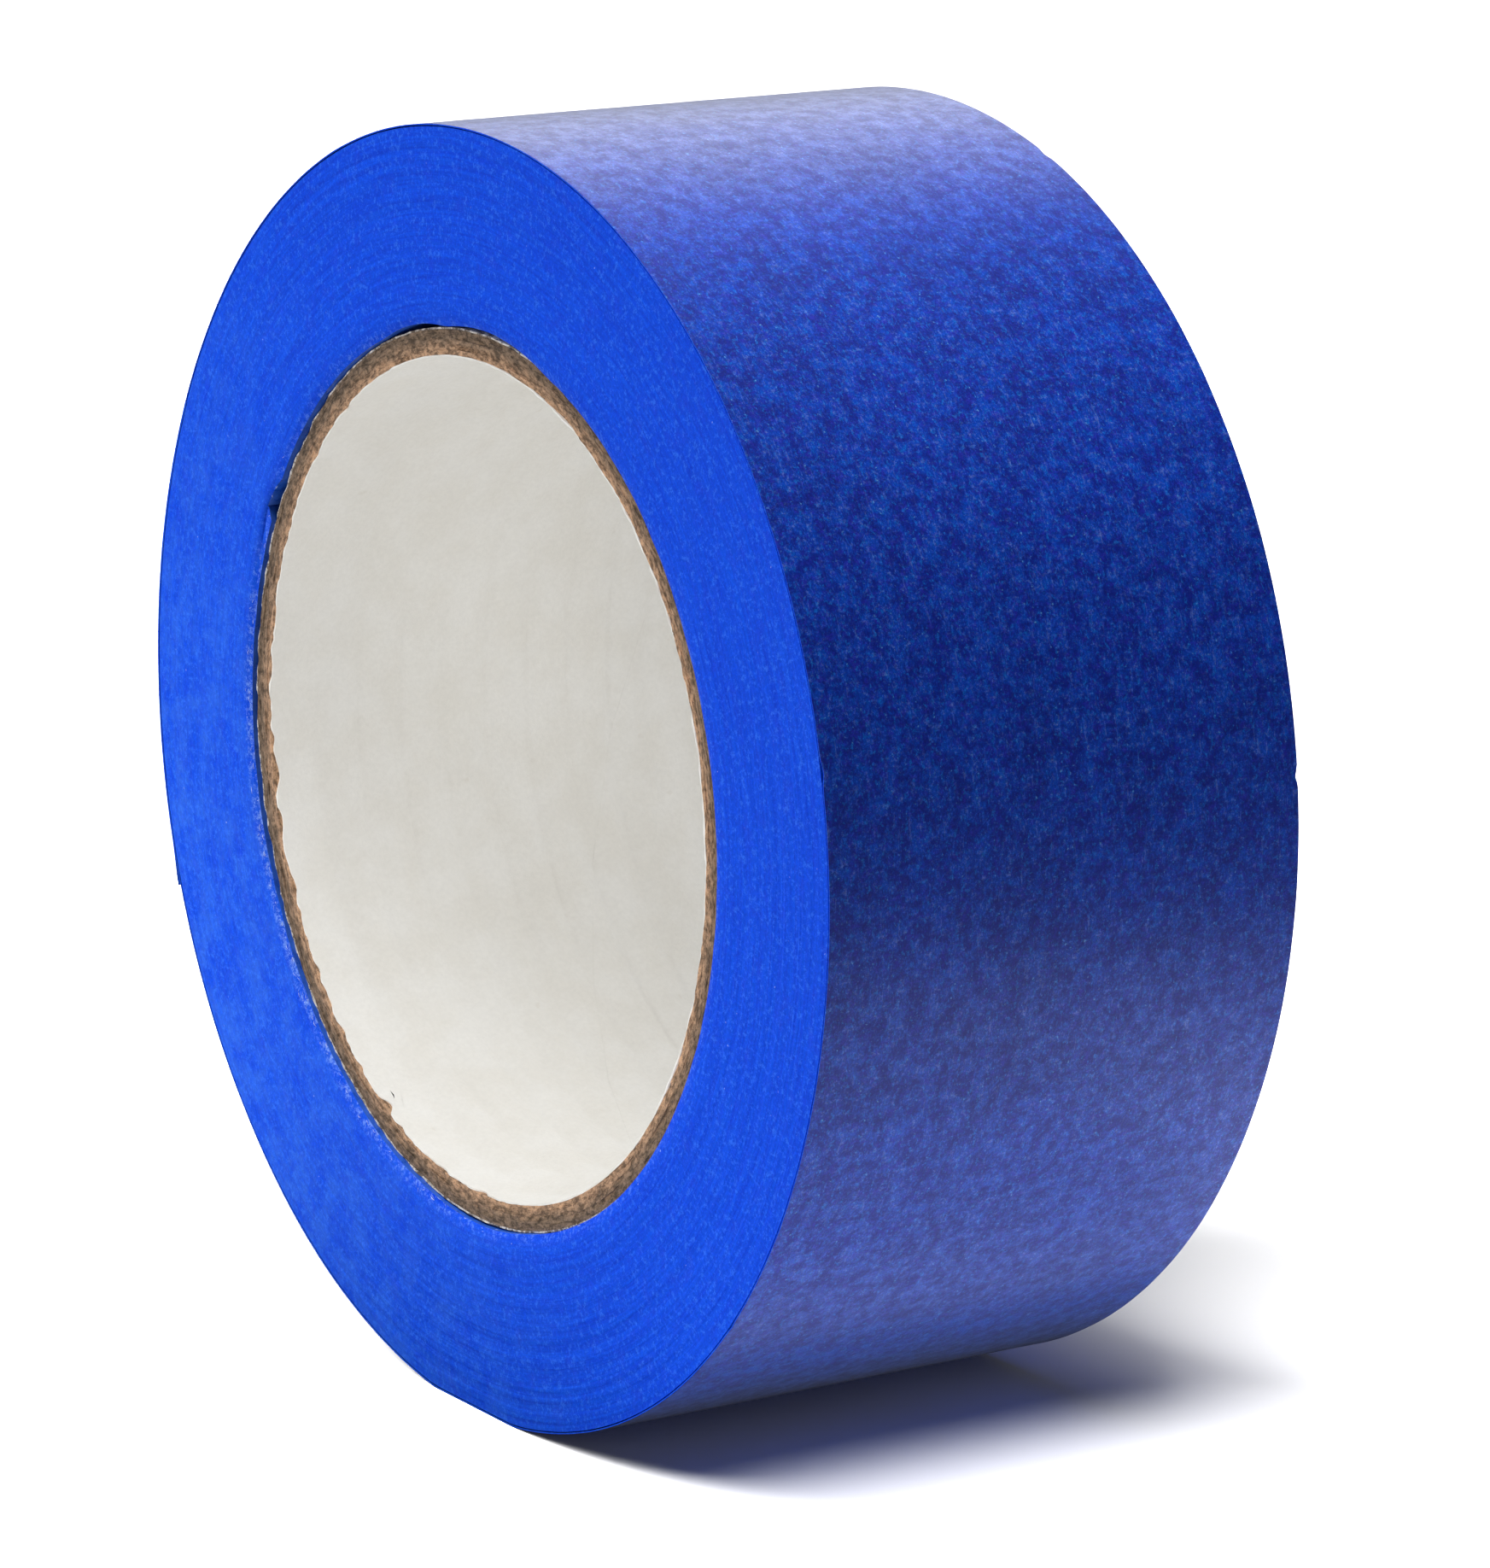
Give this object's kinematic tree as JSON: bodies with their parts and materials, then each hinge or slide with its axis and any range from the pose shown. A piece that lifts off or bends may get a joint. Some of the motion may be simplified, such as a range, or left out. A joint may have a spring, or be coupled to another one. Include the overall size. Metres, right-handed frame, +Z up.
{
  "type": "masking tape roll",
  "caption": "Full roll of wide blue crepe paper masking tape on a brown paper core with a pale liner; its loose outer end peels away from the roll.",
  "frame": {"origin": "centre of the core's bore, half way along it", "axes": "+Y along the roll's axis from the front side face to the back one, +Z up as the roll stands on its tread, +X to the right seen from the front; the tape's loose end is on the -X side"},
  "size_m": [0.1176, 0.0484, 0.1171],
  "materials": {
    "crepe_tape": "satin",
    "chipboard": "matte",
    "core_wrap_paper": "matte",
    "liner_paper": "matte"
  },
  "bodies": {
    "roll": {"core_inner_liner": "liner_paper", "core_ply_1": "chipboard", "core_ply_2": "chipboard", "core_ply_3": "chipboard", "core_ply_4": "chipboard", "core_ply_5": "chipboard", "core_outer_ply": "core_wrap_paper", "tape_wound_laps": "crepe_tape"},
    "end_link_1": {"tape_end_1": "crepe_tape"},
    "end_link_2": {"tape_end_2": "crepe_tape"},
    "end_link_3": {"tape_end_3": "crepe_tape"},
    "end_link_4": {"tape_end_4": "crepe_tape"},
    "end_link_5": {"tape_end_5": "crepe_tape"},
    "end_link_6": {"tape_end_6": "crepe_tape"},
    "end_link_7": {"tape_end_7": "crepe_tape"},
    "end_link_8": {"tape_end_8": "crepe_tape"}
  },
  "joints": [
    {"name": "peel", "type": "hinge", "parent": "roll", "child": "end_link_1", "pos_m": [-0.05581, 0, 0.01862], "axis": [0, 1, 0], "range_deg": [0, 45]},
    {"name": "unbend_2", "type": "hinge", "parent": "end_link_1", "child": "end_link_2", "pos_m": [-0.0572, 0, 0.01381], "axis": [0, 1, 0], "range_deg": [0, 29.37]},
    {"name": "unbend_3", "type": "hinge", "parent": "end_link_2", "child": "end_link_3", "pos_m": [-0.05816, 0, 0.00891], "axis": [0, 1, 0], "range_deg": [0, 18.57]},
    {"name": "unbend_4", "type": "hinge", "parent": "end_link_3", "child": "end_link_4", "pos_m": [-0.05871, 0, 0.00394], "axis": [0, 1, 0], "range_deg": [0, 12.63]},
    {"name": "unbend_5", "type": "hinge", "parent": "end_link_4", "child": "end_link_5", "pos_m": [-0.05883, 0, -0.00105], "axis": [0, 1, 0], "range_deg": [0, 9.36]},
    {"name": "unbend_6", "type": "hinge", "parent": "end_link_5", "child": "end_link_6", "pos_m": [-0.05853, 0, -0.00604], "axis": [0, 1, 0], "range_deg": [0, 7.57]},
    {"name": "unbend_7", "type": "hinge", "parent": "end_link_6", "child": "end_link_7", "pos_m": [-0.05781, 0, -0.01099], "axis": [0, 1, 0], "range_deg": [0, 6.58]},
    {"name": "unbend_8", "type": "hinge", "parent": "end_link_7", "child": "end_link_8", "pos_m": [-0.05667, 0, -0.01586], "axis": [0, 1, 0], "range_deg": [0, 6.03]}
  ],
  "couplings": [
    {"joint": "unbend_2", "follows": "peel", "ratio": 0.6415},
    {"joint": "unbend_3", "follows": "peel", "ratio": 0.4015},
    {"joint": "unbend_4", "follows": "peel", "ratio": 0.2695},
    {"joint": "unbend_5", "follows": "peel", "ratio": 0.1969},
    {"joint": "unbend_6", "follows": "peel", "ratio": 0.157},
    {"joint": "unbend_7", "follows": "peel", "ratio": 0.135},
    {"joint": "unbend_8", "follows": "peel", "ratio": 0.1229}
  ]
}
